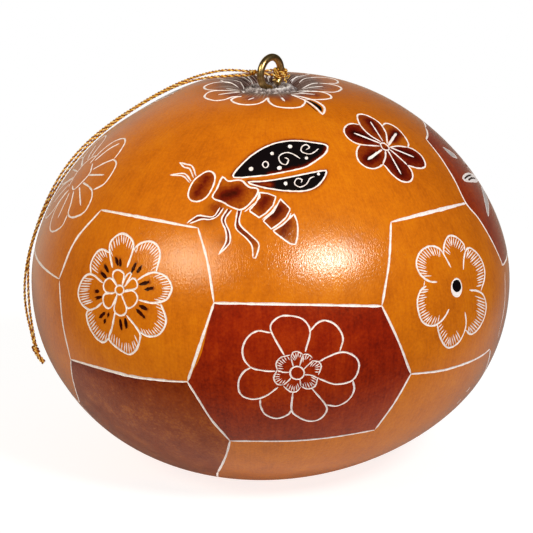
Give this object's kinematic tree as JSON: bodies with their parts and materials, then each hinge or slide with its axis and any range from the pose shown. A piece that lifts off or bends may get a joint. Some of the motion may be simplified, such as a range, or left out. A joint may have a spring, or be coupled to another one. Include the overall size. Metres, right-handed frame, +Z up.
{
  "type": "carved gourd ornament",
  "caption": "Squat dried gourd with carved and burnt panels, a brass screw eye at its crown and a hitched gold thread loop to hang it by; it stands on its flattened base.",
  "frame": {"origin": "middle of the flat base that the gourd stands on", "axes": "+Z up through the crown and the screw eye, +X to the right and -Y towards the viewer of the picture"},
  "size_m": [0.0766, 0.075, 0.0658],
  "materials": {
    "rind": "glossy sealed rind, carved and burnt",
    "pith": "dry and papery",
    "scar": "rough cork",
    "brass": "drawn wire, slightly dull",
    "gold_thread": "metallic twisted thread",
    "seed": "matt dry seed coat"
  },
  "bodies": {
    "gourd": {"gourd_shell": "rind", "pith_lining": "pith", "stem_scar": "scar", "screw_eye": "brass"},
    "hitch": {"eye_hitch": "gold_thread"},
    "thread": {"upper_strand": "gold_thread", "lower_strand": "gold_thread", "end_knot": "gold_thread"},
    "seeds": {"seed_01": "seed", "seed_02": "seed", "seed_03": "seed", "seed_04": "seed", "seed_05": "seed", "seed_06": "seed", "seed_07": "seed", "seed_08": "seed", "seed_09": "seed", "seed_10": "seed", "seed_11": "seed", "seed_12": "seed", "seed_13": "seed", "seed_14": "seed"}
  },
  "joints": [
    {"name": "hitch_turn", "type": "hinge", "parent": "gourd", "child": "hitch", "pos_m": [0.00154, 0.00183, 0.0624], "axis": [0, 0, 1], "range_deg": [-80, 5]},
    {"name": "thread_lift", "type": "hinge", "parent": "hitch", "child": "thread", "pos_m": [-0.00276, 0.00183, 0.0624], "axis": [0, 1, 0], "range_deg": [0, 95]},
    {"name": "seed_rattle", "type": "slide", "parent": "gourd", "child": "seeds", "axis": [0, 0, 1], "range_m": [0, 0.03]}
  ]
}
